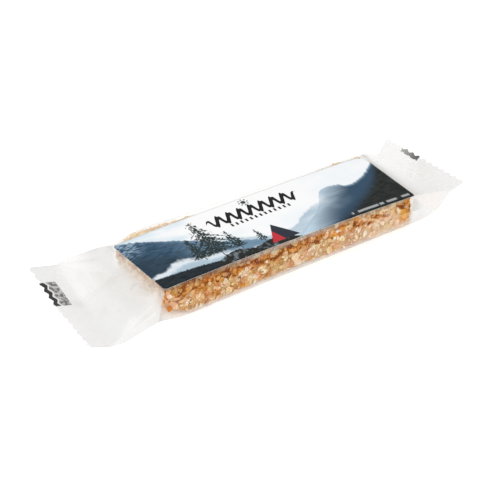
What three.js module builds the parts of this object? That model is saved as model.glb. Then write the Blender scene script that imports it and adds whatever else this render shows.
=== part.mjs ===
// A granola bar in its clear pack: a tube of thin film, closed at each end by a flat crimped seal
// with a zigzag cut and underneath by one long seam, with a printed label on top. The pack lies flat.
// Millimetres, +X along the bar, +Y to its back, +Z up. The origin is on the resting face, under the
// middle of the bar.
import * as THREE from "three";

// ---- driving dimensions ----
const BAR = { length: 108, width: 35, height: 12.7 };
const LABEL = {
  length: 111.6,
  width: 33,
  thickness: 0.3,
  cornerRadius: 1.3,
  offset: new THREE.Vector2(0.3, -1.0), // it isn't stuck on quite centrally
  gap: 0.05, // the glue line
};
const SEAM = { width: 11, rise: 0.4 }; // the folded seam lifts the rest of the film off the table
const SEAL_THICKNESS = 0.6;
const TEETH = { count: 13, depth: 1.7 };

// Heights of the film's underside and of the top that the label lies on.
const LOW = SEAM.rise;
const TOP = SEAM.rise + BAR.height;

// Each end seal is a flat band across the tube, between its inner line and its cut. A line is given
// by its two ends. Both bands have warped a little: the left one sags in the middle and droops to the
// front, and the right one stands up, more so at the back.
const LEFT_SEAL = {
  cut: { back: new THREE.Vector3(-87.9, 23.0, 11.4), front: new THREE.Vector3(-91.0, -24.6, 6.6) },
  inner: { back: new THREE.Vector3(-75.9, 23.0, 8.2), front: new THREE.Vector3(-80.4, -23.0, 1.4) },
  sag: 1.4,
};
const RIGHT_SEAL = {
  cut: { back: new THREE.Vector3(76.9, 28.2, 7.0), front: new THREE.Vector3(77.6, -20.0, 13.2) },
  inner: { back: new THREE.Vector3(72.6, 27.4, 1.8), front: new THREE.Vector3(71.8, -19.3, 10.7) },
  sag: 0,
};

// Cross-sections of the film between the seals, by their four corners. Over the bar each is a box,
// loose and leaning back near the left end, and close to the bar at the right end.
const LEFT_MOUTH = box({ x: -55.8, halfWidth: 17.3, lean: 0.2, radius: 1.4 });
const LOOSE_PLACE = box({ x: -44, halfWidth: 18.7, lean: 1.0, radius: 2.0 });
LOOSE_PLACE.frontLow.x -= 6; // it sags out sooner along the table
const RIGHT_MOUTH = box({ x: 55.4, halfWidth: 17.5, lean: 0, radius: 1.5 });
// Past the bar's right end the film still lies on the table, before it turns up to the seal.
const RIGHT_SHOULDER = {
  backTop: new THREE.Vector3(65.4, 22.6, 7.0),
  frontTop: new THREE.Vector3(65.6, -18.5, 12.0),
  frontLow: new THREE.Vector3(66.8, -17.0, 1.4),
  backLow: new THREE.Vector3(66.8, 20.6, LOW),
  radius: 1.0,
  sag: 0,
};

// Rings of the mesh from one cross-section to the next, and how far the film is blown out between.
const LEFT_RUN = { steps: 8, bulge: 1.1 };
const LOOSE_RUN = { steps: 5, bulge: 0 };
const CLOSE_RUN = { steps: 6, bulge: 0 };
const SHOULDER_RUN = { steps: 4, bulge: 0.3 };
const RIGHT_RUN = { steps: 4, bulge: 0.3 };

// ---- derived sizes ----
const CORNER_STEPS = 2;
const ACROSS = 2 * TEETH.count; // steps of half a tooth, from the back fold to the front fold
const AROUND = 2 * ACROSS;
const FLAT_STEPS = ACROSS - 2 * (CORNER_STEPS + 1); // of those, the steps between two round corners
const SEAM_STEPS = 6; // of those again, the steps across the seam

function box({ x, halfWidth, lean, radius }) {
  return {
    backTop: new THREE.Vector3(x, halfWidth + lean, TOP),
    frontTop: new THREE.Vector3(x, -halfWidth + lean, TOP),
    frontLow: new THREE.Vector3(x, -halfWidth - lean, LOW),
    backLow: new THREE.Vector3(x, halfWidth - lean, LOW),
    radius,
    sag: 0,
  };
}

// The tube pressed flat at the inner line of a seal, as a cross-section.
function flattened({ inner: { back, front }, sag }) {
  const half = new THREE.Vector3(0, 0, SEAL_THICKNESS / 2);
  return {
    backTop: back.clone().add(half),
    frontTop: front.clone().add(half),
    frontLow: front.clone().sub(half),
    backLow: back.clone().sub(half),
    radius: SEAL_THICKNESS / 3,
    sag,
  };
}

// Points strictly between two ends, closer together where they cross the seam's width.
function flatPoints(from, to) {
  const half = from.distanceTo(to) / 2;
  const seamShare = SEAM.width / 2 / half;
  const points = [];
  for (let step = 1; step < FLAT_STEPS; step++) {
    const place = step - FLAT_STEPS / 2;
    const outside = Math.max(0, Math.abs(place) - SEAM_STEPS / 2);
    const inside = Math.abs(place) - outside;
    const share =
      (seamShare * inside) / (SEAM_STEPS / 2) +
      ((1 - seamShare) * outside) / ((FLAT_STEPS - SEAM_STEPS) / 2);
    points.push(from.clone().lerp(to, (1 + Math.sign(place) * share) / 2));
  }
  return points;
}

function roundCorner(before, corner, after, radius) {
  const start = corner.clone().add(before.clone().sub(corner).setLength(radius));
  const end = corner.clone().add(after.clone().sub(corner).setLength(radius));
  return new THREE.QuadraticBezierCurve3(start, corner, end).getPoints(CORNER_STEPS);
}

// How far a film that sags in its middle hangs down at a share of its width.
function hang(sag, share) {
  return 4 * sag * share * (1 - share);
}

// One ring of the mesh: from the middle of the back wall over the top to the front, and back below.
function ring({ backTop, frontTop, frontLow, backLow, radius, sag }) {
  const back = backTop.clone().lerp(backLow, 0.5);
  const front = frontTop.clone().lerp(frontLow, 0.5);
  const layer = (fold, first, last, nextFold) => {
    const arrive = roundCorner(fold, first, last, radius);
    const leave = roundCorner(first, last, nextFold, radius);
    return [fold, ...arrive, ...flatPoints(arrive.at(-1), leave[0]), ...leave];
  };
  const upper = layer(back, backTop, frontTop, front);
  const lower = layer(front, frontLow, backLow, back);
  const middle = ACROSS / 2;
  for (let i = middle - SEAM_STEPS / 2; i <= middle + SEAM_STEPS / 2; i++) {
    lower[i].z -= SEAM.rise;
  }
  const points = [...upper, ...lower];
  const span = front.clone().sub(back);
  for (const point of points) {
    const share = point.clone().sub(back).dot(span) / span.lengthSq();
    point.z -= hang(sag, THREE.MathUtils.clamp(share, 0, 1));
  }
  return points;
}

// The cut end of a seal, with its teeth pointing out along the band.
function cutRing({ cut, inner, sag }) {
  const points = [];
  for (let i = 0; i < AROUND; i++) {
    const upper = i <= ACROSS;
    const step = upper ? i : AROUND - i;
    const share = step / ACROSS;
    const onCut = cut.back.clone().lerp(cut.front, share);
    const onInner = inner.back.clone().lerp(inner.front, share);
    const outward = onCut.clone().sub(onInner).normalize();
    onCut.addScaledVector(outward, (step % 2 ? 1 : -1) * (TEETH.depth / 2));
    if (i % ACROSS !== 0) onCut.z += ((upper ? 1 : -1) * SEAL_THICKNESS) / 2;
    onCut.z -= hang(sag, share);
    points.push(onCut);
  }
  return points;
}

// Rings from one cross-section up to, but not including, the next.
function run(from, to, { steps, bulge }) {
  const rings = [];
  for (let k = 0; k < steps; k++) {
    const share = k / steps;
    const blown = bulge * Math.sin(Math.PI * share);
    const between = (corner) => from[corner].clone().lerp(to[corner], share);
    const section = {
      backTop: between("backTop"),
      frontTop: between("frontTop"),
      frontLow: between("frontLow"),
      backLow: between("backLow"),
      radius: THREE.MathUtils.lerp(from.radius, to.radius, share),
      sag: THREE.MathUtils.lerp(from.sag, to.sag, share),
    };
    for (const corner of [section.backTop, section.frontTop]) corner.z += blown;
    for (const corner of [section.frontLow, section.backLow]) {
      corner.z = Math.max(LOW, corner.z - blown);
    }
    rings.push(ring(section));
  }
  return rings;
}

// Skins a row of rings and closes its two ends, layer to layer.
function loft(rings) {
  const vertices = rings.flat().flatMap((point) => point.toArray());
  const faces = [];
  for (let r = 0; r + 1 < rings.length; r++) {
    for (let i = 0; i < AROUND; i++) {
      const a = r * AROUND + i;
      const b = r * AROUND + ((i + 1) % AROUND);
      faces.push(a, b, a + AROUND, b, b + AROUND, a + AROUND);
    }
  }
  const closeEnd = (first, turned) => {
    const face = (a, b, c) => {
      const [second, third] = turned ? [c, b] : [b, c];
      faces.push(first + a, first + second, first + third);
    };
    for (let i = 0; i < ACROSS; i++) {
      const below = (AROUND - i) % AROUND;
      const nextBelow = AROUND - i - 1;
      if (i > 0) face(i, below, i + 1);
      if (i < ACROSS - 1) face(i + 1, below, nextBelow);
    }
  };
  closeEnd(0, false);
  closeEnd((rings.length - 1) * AROUND, true);
  const geometry = new THREE.BufferGeometry();
  geometry.setAttribute("position", new THREE.Float32BufferAttribute(vertices, 3));
  geometry.setIndex(faces);
  geometry.computeVertexNormals();
  return geometry;
}

function filmWrap() {
  const leftInner = flattened(LEFT_SEAL);
  const rightInner = flattened(RIGHT_SEAL);
  const rings = [
    cutRing(LEFT_SEAL),
    ...run(leftInner, LEFT_MOUTH, LEFT_RUN),
    ...run(LEFT_MOUTH, LOOSE_PLACE, LOOSE_RUN),
    ...run(LOOSE_PLACE, RIGHT_MOUTH, CLOSE_RUN),
    ...run(RIGHT_MOUTH, RIGHT_SHOULDER, SHOULDER_RUN),
    ...run(RIGHT_SHOULDER, rightInner, RIGHT_RUN),
    ring(rightInner),
    cutRing(RIGHT_SEAL),
  ];
  const clearFilm = new THREE.MeshStandardMaterial({
    color: 0xe9e4dc,
    roughness: 0.25,
    metalness: 0,
    transparent: true,
    opacity: 0.45,
  });
  const mesh = new THREE.Mesh(loft(rings), clearFilm);
  mesh.name = "film_wrap";
  return mesh;
}

function label() {
  const right = LABEL.length / 2;
  const back = LABEL.width / 2;
  const r = LABEL.cornerRadius;
  const outline = new THREE.Shape()
    .absarc(right - r, r - back, r, -Math.PI / 2, 0)
    .absarc(right - r, back - r, r, 0, Math.PI / 2)
    .absarc(r - right, back - r, r, Math.PI / 2, Math.PI)
    .absarc(r - right, r - back, r, Math.PI, 1.5 * Math.PI);
  const geometry = new THREE.ExtrudeGeometry(outline, {
    depth: LABEL.thickness,
    bevelEnabled: false,
    curveSegments: 5,
  });
  const printedPaper = new THREE.MeshStandardMaterial({
    color: 0x8a9aa6,
    roughness: 0.35,
    metalness: 0,
  });
  const mesh = new THREE.Mesh(geometry, printedPaper);
  mesh.name = "label";
  mesh.position.set(LABEL.offset.x, LABEL.offset.y, TOP + LABEL.gap);
  return mesh;
}

const pack = new THREE.Group();
pack.add(filmWrap(), label());

export default pack;
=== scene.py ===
import math

import bpy
import numpy as np
from mathutils import Matrix, Vector


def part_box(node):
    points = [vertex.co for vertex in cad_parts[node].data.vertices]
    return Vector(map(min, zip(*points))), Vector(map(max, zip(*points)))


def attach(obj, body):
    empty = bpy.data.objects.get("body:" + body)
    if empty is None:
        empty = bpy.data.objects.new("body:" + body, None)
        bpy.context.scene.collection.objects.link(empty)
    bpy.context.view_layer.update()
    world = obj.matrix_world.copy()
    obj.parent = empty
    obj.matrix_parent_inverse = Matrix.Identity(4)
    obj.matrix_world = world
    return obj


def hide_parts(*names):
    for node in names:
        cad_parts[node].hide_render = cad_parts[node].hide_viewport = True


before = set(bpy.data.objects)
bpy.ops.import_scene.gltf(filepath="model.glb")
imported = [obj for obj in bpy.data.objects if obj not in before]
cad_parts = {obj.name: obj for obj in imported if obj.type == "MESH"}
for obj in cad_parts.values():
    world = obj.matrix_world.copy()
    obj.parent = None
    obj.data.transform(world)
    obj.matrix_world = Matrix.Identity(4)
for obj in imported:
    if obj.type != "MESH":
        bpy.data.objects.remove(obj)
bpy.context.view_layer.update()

MM = 0.001


# ---- View, light and table ----
# The pack lies on a white table, faintly lit from below, in soft studio light: a wide softbox above
# and one from the front, in a white room. The camera looks down along the bar from its front left.
AIM = Vector((-4.8, 2.5, -0.1)) * MM
AZIMUTH, ELEVATION, ROLL = -34.68, 34.90, 1.07
DISTANCE = 1.083
LENS = 208.8  # on a sensor 36 mm wide
LAMPS = (  # azimuth, elevation, side and power
    ("lamp_above", -70, 62, 0.8, 4.4),
    ("lamp_front", 15, 34, 0.6, 2.1),
)
LAMP_DISTANCE = 1.2
ROOM_STRENGTH = 0.66
TABLE_SIDE = 8.0
TABLE_GLOW = 0.38
FULL_WHITE = (1, 1, 1, 1)


def looking(target, azimuth, elevation, distance, roll=0):
    """Where a camera or lamp stands that looks at a target from a direction, given in degrees."""
    azimuth, elevation, roll = (math.radians(angle) for angle in (azimuth, elevation, roll))
    turn = Matrix.Rotation(azimuth, 4, "Z") @ Matrix.Rotation(math.pi / 2 - elevation, 4, "X")
    turn = turn @ Matrix.Rotation(roll, 4, "Z")
    return Matrix.Translation(target) @ turn @ Matrix.Translation((0, 0, distance))


def feed(socket, value):
    """Links what flows out of another node to an input, or sets a plain value there."""
    if hasattr(value, "socket"):
        socket.id_data.links.new(value.socket, socket)
    else:
        socket.default_value = value


def fill(node, values):
    """Feeds a node's inputs, by name."""
    for name, value in dict(values).items():
        feed(next(socket for socket in node.inputs if socket.enabled and socket.name == name), value)


def paint(red, green, blue):
    """A colour as a screen shows it, out of 255, for a colour socket."""
    linear = [((part / 255 + 0.055) / 1.055) ** 2.4 for part in (red, green, blue)]
    return (*linear, 1.0)


def new_material(name):
    material = bpy.data.materials.new(name)
    material.use_nodes = True
    tree = material.node_tree
    return material, tree, tree.nodes["Principled BSDF"]


def new_object(name, data, *materials):
    thing = bpy.data.objects.new(name, data)
    bpy.context.collection.objects.link(thing)
    for material in materials:
        data.materials.append(material)
    return thing


camera = new_object("camera", bpy.data.cameras.new("camera"))
camera.data.lens = LENS
camera.data.clip_start = 0.01
camera.matrix_world = looking(AIM, AZIMUTH, ELEVATION, DISTANCE, ROLL)
bpy.context.scene.camera = camera
bpy.context.scene.view_settings.view_transform = "Standard"

for name, azimuth, elevation, side, power in LAMPS:
    lamp = new_object(name, bpy.data.lights.new(name, "AREA"))
    lamp.data.shape = "SQUARE"
    lamp.data.size = side
    lamp.data.energy = power
    lamp.matrix_world = looking(Vector(), azimuth, elevation, LAMP_DISTANCE)

room = bpy.data.worlds.new("white_room")
room.use_nodes = True
fill(room.node_tree.nodes["Background"], {"Color": FULL_WHITE, "Strength": ROOM_STRENGTH})
bpy.context.scene.world = room

table_paint, tree, shader = new_material("table_paint")
table_look = {
    "Base Color": paint(232, 232, 232),
    "Roughness": 0.7,
    "Specular IOR Level": 0.1,
    "Emission Color": FULL_WHITE,
    "Emission Strength": TABLE_GLOW,
}
fill(shader, table_look)
half = TABLE_SIDE / 2
table_mesh = bpy.data.meshes.new("table")
table_corners = [(-half, -half, 0), (half, -half, 0), (half, half, 0), (-half, half, 0)]
table_mesh.from_pydata(table_corners, [], [(0, 1, 2, 3)])
table = new_object("table", table_mesh, table_paint)


# ---- Syrup ----
# The bar is pressed in a slab from chopped nuts and puffed grain, bound by boiled syrup, and cut.
# The syrup is its core: amber, glossy and lumpy, seen in the gaps between the pieces.
BAR_HALF = Vector((53.9, 17.1, 6.05)) * MM
BAR_MIDDLE = Vector((0, 0, 6.75)) * MM
BAR_ROUNDING = 1.1 * MM
DOME = 1.0 * MM  # how much thicker the bar is at its middle
DOME_HALF = 58 * MM
SWELL_START, SWELL_LENGTH = 45 * MM, 9 * MM  # from where, and over what length, the ends swell out
LEFT_BULGE, LEFT_BELLY, LEFT_BELLY_HALF = 1.2 * MM, 5.5 * MM, 7.6 * MM  # how far, and where most
RIGHT_BULGE, RIGHT_BELLY, RIGHT_BELLY_HALF = 1.9 * MM, 7.5 * MM, 11.0 * MM
LEFT_EXTRA_WIDTH = 0.07  # the left part is wider by this share, and leans back
LEFT_LEAN = 0.9 * MM
LEFT_SPREAD = 0.8 * MM  # how far its lower edge spreads to the front
LEFT_LIFT = 0.2 * MM  # how much higher that edge lies, and how much more at the very end
LEFT_CORNER_LIFT = 2.2 * MM
RIGHT_DROP = 0.25 * MM  # how much lower at the right, where it also spreads to the front
RIGHT_SPREAD = 0.55 * MM
RIGHT_CORNER = 1.0 * MM  # how far the lower corner at the right is rounded off
RIGHT_CORNER_SHARPNESS = 3.5
RIGHT_PEEK = 1.0 * MM  # how far the top sticks out at two places at the back right
LEFT_PEEK = 0.5 * MM  # and at one at the back left, where it is also a little thicker
LEFT_HUMP = 0.3 * MM
BACK_HOLLOW = 0.7 * MM  # how far the top at the back is hollowed between them
# Where these are: the middle, how far on both sides they are whole, and where they end.
RIGHT_PEEK_PLACES = ((43.5 * MM, 1.5 * MM, 4.5 * MM), (56 * MM, 4.0 * MM, 6.5 * MM))
LEFT_PEEK_PLACE = (-43 * MM, 3 * MM, 12 * MM)
HOLLOW_PLACE = (8 * MM, 27 * MM, 34 * MM)
SYRUP_DEPTH = 0.5 * MM  # how deep the syrup's surface lies under the pieces'
SYRUP_STEP = 0.6 * MM
SYRUP_LUMPS = 1.1 * MM
SYRUP_LUMP_SCALE = 420.0


class Flow:
    """What flows out of a node. Arithmetic on it puts the nodes for that arithmetic in its tree."""

    def __init__(self, socket):
        self.socket = socket
        self.tree = socket.id_data

    def __add__(self, other):
        return calc("ADD", self, other)

    def __sub__(self, other):
        return calc("SUBTRACT", self, other)

    def __rsub__(self, other):
        return calc("SUBTRACT", other, self)

    def __mul__(self, other):
        return calc("MULTIPLY", self, other)

    def __truediv__(self, other):
        return calc("DIVIDE", self, other)

    def __rtruediv__(self, other):
        return calc("DIVIDE", other, self)

    def __pow__(self, power):
        return calc("POWER", self, power)

    def __abs__(self):
        return calc("ABSOLUTE", self)

    __radd__ = __add__
    __rmul__ = __mul__


def live(sockets):
    """The sockets that a node shows in its present mode."""
    return [socket for socket in sockets if socket.enabled]


def shared_tree(values):
    """The tree that the first flow among some values is in."""
    return next(value.tree for value in values if isinstance(value, Flow))


def is_vector(value):
    if isinstance(value, Flow):
        return value.socket.type in ("VECTOR", "RGBA")
    return not isinstance(value, (int, float))


def calc(operation, *values):
    """One step of arithmetic, on vectors where any of the values is a vector or a colour."""
    on_vectors = any(is_vector(value) for value in values)
    kind = "ShaderNodeVectorMath" if on_vectors else "ShaderNodeMath"
    node = shared_tree(values).nodes.new(kind)
    node.operation = operation
    for socket, value in zip(live(node.inputs), values):
        if on_vectors and isinstance(value, (int, float)):
            value = (value,) * 3
        feed(socket, value)
    return Flow(live(node.outputs)[0])


def largest(one, other):
    return calc("MAXIMUM", one, other)


def smallest(one, other):
    return calc("MINIMUM", one, other)


def add(tree, kind, values=(), **settings):
    """Puts a node in a tree, with its settings and its inputs."""
    node = tree.nodes.new(kind)
    for setting, value in settings.items():
        setattr(node, setting, value)
    fill(node, values)
    return node


def flow(tree, kind, values=(), output=None, **settings):
    """What flows out of a new node, at a named output or at its first one."""
    outputs = add(tree, kind, values, **settings).outputs
    return Flow(outputs[output] if output else live(outputs)[0])


def parts(vector):
    return [Flow(part) for part in add(vector.tree, "ShaderNodeSeparateXYZ", {"Vector": vector}).outputs]


def joined(*values):
    return flow(shared_tree(values), "ShaderNodeCombineXYZ", zip("XYZ", values))


def clamped(value):
    return flow(value.tree, "ShaderNodeClamp", {"Value": value})


def smooth_step(value, low, high):
    """Goes softly from 0 at one limit to 1 at the other."""
    limits = {"Value": value, "From Min": low, "From Max": high}
    return flow(value.tree, "ShaderNodeMapRange", limits, interpolation_type="SMOOTHSTEP")


def around(value, centre, whole, none):
    """1 round a place, up to one distance from it, and 0 from another."""
    return smooth_step(abs(value - centre), none, whole)


def mix_colours(share, first, second):
    colours = {"Factor": share, "A": first, "B": second}
    return flow(shared_tree(colours.values()), "ShaderNodeMix", colours, data_type="RGBA")


def noise(place, scale, detail=3.0, output=None):
    values = {"Vector": place, "Scale": scale, "Detail": detail}
    return flow(place.tree, "ShaderNodeTexNoise", values, output)


def new_group(name, kind, inputs, outputs):
    """A node group with named sockets: its tree, what it is given, and the node for its results."""
    tree = bpy.data.node_groups.new(name, kind)
    for in_out, sockets in (("INPUT", inputs), ("OUTPUT", outputs)):
        for socket, socket_kind in sockets.items():
            tree.interface.new_socket(socket, in_out=in_out, socket_type="NodeSocket" + socket_kind)
    given = {socket.name: Flow(socket) for socket in tree.nodes.new("NodeGroupInput").outputs}
    return tree, given, tree.nodes.new("NodeGroupOutput")


def place_group(tree, group, values):
    """Puts a group into a material's or another group's tree: what flows out of it, by name."""
    kind = "ShaderNodeGroup" if group.bl_idname == "ShaderNodeTree" else "GeometryNodeGroup"
    node = tree.nodes.new(kind)
    node.node_tree = group
    fill(node, values)
    return {socket.name: Flow(socket) for socket in node.outputs}


# Keeps points inside the bar's form, as the press and the knife do: a box with round edges, a
# little thicker at its middle, swollen at its ends, and wider and leaning at the left.
pressed, given, result = new_group(
    "pressed",
    "GeometryNodeTree",
    {"Place": "Vector", "Proud": "Float"},
    {"Place": "Vector", "Depth": "Float"},
)
inner = BAR_HALF - Vector((BAR_ROUNDING,) * 3)
from_middle = given["Place"] - BAR_MIDDLE
inside = smallest(largest(from_middle, -inner), inner)
out = from_middle - inside
length = largest(calc("LENGTH", out), 1e-6)
keep = smallest((given["Proud"] + BAR_ROUNDING) / length, 1.0)
boxed = inside + out * keep + BAR_MIDDLE
x, y, z = parts(boxed)
height = z / (BAR_MIDDLE.z + BAR_HALF.z)  # 0 at the bottom and 1 at the top
lowness = 1.0 - height
swollen = 0.0
for direction, bulge, belly, belly_half in (
    (-1.0, LEFT_BULGE, LEFT_BELLY, LEFT_BELLY_HALF),
    (1.0, RIGHT_BULGE, RIGHT_BELLY, RIGHT_BELLY_HALF),
):
    level = (z - belly) / belly_half
    at_end = clamped((direction * x - SWELL_START) / SWELL_LENGTH)
    swollen = swollen + direction * bulge * (at_end * (1.0 - level * level))
at_corner = smooth_step(x, 40 * MM, 54 * MM) * lowness**RIGHT_CORNER_SHARPNESS
swollen = swollen - RIGHT_CORNER * at_corner
leftness = clamped(0.12 - x / (50 * MM)) * smooth_step(x, -56 * MM, -44 * MM)
lean = LEFT_LEAN * (2.0 * height - 1.0)
sidewise = leftness * (LEFT_EXTRA_WIDTH * y + lean)
top_back = height * smooth_step(y, 8 * MM, 16 * MM)
right_peak = largest(*(around(x, *place) for place in RIGHT_PEEK_PLACES))
left_peak = around(x, *LEFT_PEEK_PLACE)
hollow = around(x, *HOLLOW_PLACE)
sidewise = sidewise + top_back * (RIGHT_PEEK * right_peak + LEFT_PEEK * left_peak - BACK_HOLLOW * hollow)
leftward = smooth_step(x, 25 * MM, -20 * MM)
low_front = lowness * smooth_step(y, -8 * MM, -16 * MM)
sidewise = sidewise - low_front * (RIGHT_SPREAD * (1.0 - leftward) + LEFT_SPREAD * leftness)
rise = DOME * height * (1.0 - (x / DOME_HALF) ** 2.0) + LEFT_HUMP * (top_back * left_peak)
lifted = (LEFT_LIFT + RIGHT_DROP) * leftward - RIGHT_DROP
lifted = lifted + LEFT_CORNER_LIFT * smooth_step(x, -46 * MM, -53 * MM)
rise = rise + lowness * lifted
depth = largest(1.0 - length / BAR_ROUNDING, 0.0)
fill(result, {"Place": boxed + joined(swollen, sidewise, rise), "Depth": depth})


def moved(geometry, **places):
    return flow(geometry.tree, "GeometryNodeSetPosition", {"Geometry": geometry, **places})


def marked(geometry, name, value):
    """Keeps a number at each point, for the materials."""
    values = {"Geometry": geometry, "Name": name, "Value": value}
    return flow(geometry.tree, "GeometryNodeStoreNamedAttribute", values, data_type="FLOAT", domain="POINT")


def smoothed(geometry):
    return flow(geometry.tree, "GeometryNodeSetShadeSmooth", {"Geometry": geometry})


def dressed(geometry, finish):
    """The end of a piece's tree: real faces in their material."""
    real = flow(geometry.tree, "GeometryNodeRealizeInstances", {"Geometry": geometry})
    return flow(geometry.tree, "GeometryNodeSetMaterial", {"Geometry": real, "Material": finish})


def bar_box(tree, counts, spot, depth):
    """A box of squares, pressed to the bar's form at some depth under its surface."""
    values = {"Size": 2 * BAR_HALF, **{f"Vertices {axis}": count for axis, count in zip("XYZ", counts)}}
    box = moved(flow(tree, "GeometryNodeMeshCube", values, "Mesh"), Offset=BAR_MIDDLE)
    return moved(box, Position=place_group(tree, pressed, {"Place": spot, "Proud": -1.0 * depth})["Place"])


# The core's mesh: a box of small squares, pressed to the bar's form and made lumpy.
core, given, result = new_group(
    "syrup_core",
    "GeometryNodeTree",
    {"Step": "Float", "Depth": "Float", "Lumps": "Float", "Lump scale": "Float", "Finish": "Material"},
    {"Geometry": "Geometry"},
)
spot = flow(core, "GeometryNodeInputPosition")
rounded = bar_box(core, [2 * side / given["Step"] for side in BAR_HALF], spot, given["Depth"])
swell = (noise(spot, given["Lump scale"], 2.0) - 0.5) * given["Lumps"]
lumpy = moved(rounded, Offset=flow(core, "GeometryNodeInputNormal") * swell)
lumpy = marked(lumpy, "depth", (given["Depth"] - swell) / BAR_ROUNDING)
fill(result, {"Geometry": dressed(smoothed(lumpy), given["Finish"])})


def grown(name, tree, values, start=None):
    """Runs a Geometry Nodes tree once and keeps what it makes as a plain mesh."""
    piece = new_object(name, start or bpy.data.meshes.new(name))
    modifier = piece.modifiers.new("grow", "NODES")
    modifier.node_group = tree
    sockets = {item.name: item.identifier for item in tree.interface.items_tree if item.in_out == "INPUT"}
    for socket, value in values.items():
        modifier[sockets[socket]] = value
    depsgraph = bpy.context.evaluated_depsgraph_get()
    mesh = bpy.data.meshes.new_from_object(
        piece.evaluated_get(depsgraph), preserve_all_data_layers=True, depsgraph=depsgraph
    )
    piece.modifiers.clear()
    piece.data = mesh
    mesh.name = name
    return piece


def object_place(tree):
    return flow(tree, "ShaderNodeTexCoord", output="Object")


def stored(tree, name):
    return flow(tree, "ShaderNodeAttribute", output="Fac", attribute_name=name)


def spotted(value, x, spots):
    """Adds to a value round some places along the bar: the middle, how far whole and none, how much."""
    for centre, whole, none, amount in spots:
        value = value + amount * around(x, centre, whole, none)
    return value


# Syrup and crumbs over everything: angular cells of different tones, cream flecks, golden pools
# thickest near the top, deep amber hollows there, and painted shade in the gaps between the pieces.
honeyed, given, result = new_group(
    "honeyed", "ShaderNodeTree", {"Colour": "Color", "Cover": "Float"}, {"Colour": "Color", "Wet": "Float"}
)
spot = object_place(honeyed)
x, y, z = parts(spot / MM)  # the masks along the bar are laid out in millimetres
rightward = smooth_step(x, -10, 34)
left_end = smooth_step(x, -47, -51)
above = smooth_step(z, 6.5, 9.0)
run_down = above * smooth_step(z, 12.5, 11.0)

CELL_SCALE, FINE_SCALE, POOL_SCALE, HOLLOW_SCALE, HUE_SCALE = 430.0, 1300.0, 150.0, 400.0, 220.0
CELL_RAGGEDNESS, RAGGED_SCALE = 2.0 * MM, 500.0
FINE_SHARE = 1.4  # how much of the fine noise roughens the edges of the cells' tones
warped = noise(spot, RAGGED_SCALE, output="Color") * CELL_RAGGEDNESS + spot
cells = flow(honeyed, "ShaderNodeTexVoronoi", {"Vector": warped, "Scale": CELL_SCALE}, "Color")
cell_tone, cell_fleck, cell_hue = parts(cells)
fine = noise(spot, FINE_SCALE) - 0.5
tint = smooth_step(FINE_SHARE * fine + cell_tone, 0.0, 1.0)
tinted = mix_colours(tint, paint(188, 118, 58), paint(244, 221, 186))
mottled = mix_colours(0.5, given["Colour"], tinted)
warmed = mottled * (1.0 - (0.0, 0.09, 0.2) * smooth_step(x, -20, -30))
flecks = cell_fleck + rightward * (0.34 * smooth_step(z, 4.0, 9.0) + 0.02) - 0.14 * smooth_step(x, 20, 42)
flecks = spotted(flecks + FINE_SHARE * fine, x, ((26, 9, 15, -0.09), (-21, 5, 10, -0.05)))
flecked = mix_colours(0.9 * smooth_step(flecks, 0.85, 0.99), warmed, paint(252, 242, 224))
pale = 0.16 * smooth_step(z, 7.0, 1.0) + 0.3 * rightward + 0.4 * left_end
pale = spotted(pale, x, ((24, 6, 13, -0.26), (7, 3, 9, 0.3), (46, 5, 10, 0.2)))
pale = clamped(largest(pale, 0.4 * smooth_step(y, 12, 15)))
paler = mix_colours(pale, flecked, paint(234, 205, 173))

drawn = spot * (0.75, 1.0, 1.0)  # drawn out along the bar
pool = noise(drawn, POOL_SCALE) + run_down * (0.13 - 0.08 * rightward)
pool = pool + 0.1 * smooth_step(x, 48, 54) - 0.1 * left_end + 0.06 * (above * around(x, 22, 5, 9))
pool = smooth_step(spotted(pool, x, ((7, 4, 9, -0.08), (45, 4, 8, -0.07))), 0.56, 0.63)
glaze = mix_colours(smooth_step(cell_hue, 0.3, 0.8), paint(204, 148, 80), paint(230, 164, 54))
glaze = mix_colours(0.6 * rightward, glaze, paint(236, 160, 52))
golden = mix_colours(pool * given["Cover"], paler, glaze)
hollow = noise(drawn, HOLLOW_SCALE, 4.0) + 0.165 * run_down + 0.25 * fine
hollow = hollow - 0.04 * smooth_step(x, -14, 10) - 0.12 * left_end
amber = mix_colours(smooth_step(hollow, 0.52, 0.66) * given["Cover"], golden, paint(202, 128, 48))
deep = mix_colours(smooth_step(hollow, 0.62, 0.74) * given["Cover"], amber, paint(124, 54, 2))
# Painted shade: darker where a point lies deeper under the surface, in the gaps between the pieces.
gap_shade = smooth_step(stored(honeyed, "depth"), 0.15, 0.85) * (0.7 - 0.3 * rightward)
gap_shaded = mix_colours(gap_shade, deep, paint(158, 90, 26))

# The label keeps the light from the top edge of the front and of the left end. All over the bar,
# patches lean to olive or to rose, and the top edge at the back is golden.
label_shade = largest(smooth_step(y, -13.0, -15.5), smooth_step(x, -52.5, -54.0))
label_shade = label_shade * smooth_step(z, 10.8, 12.2) * (1.0 - 0.35 * rightward)
shaded = gap_shaded * (1.0 - (0.42, 0.46, 0.5) * label_shade)
hue = smooth_step(0.2 * cell_hue + noise(spot, HUE_SCALE), 0.45, 0.75)
olive_to_rose = (0.08, -0.055, 0.07) * hue + (0.96, 1.035, 0.905)
top_back = smooth_step(y, 13.5, 16.0) * smooth_step(z, 10.5, 12.0)
honey = mix_colours(0.55 * top_back, shaded * olive_to_rose, paint(255, 214, 146))
fill(result, {"Colour": honey, "Wet": pool})


def relief(height, strength, distance):
    values = {"Strength": strength, "Distance": distance, "Height": height}
    return flow(height.tree, "ShaderNodeBump", values)


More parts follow.
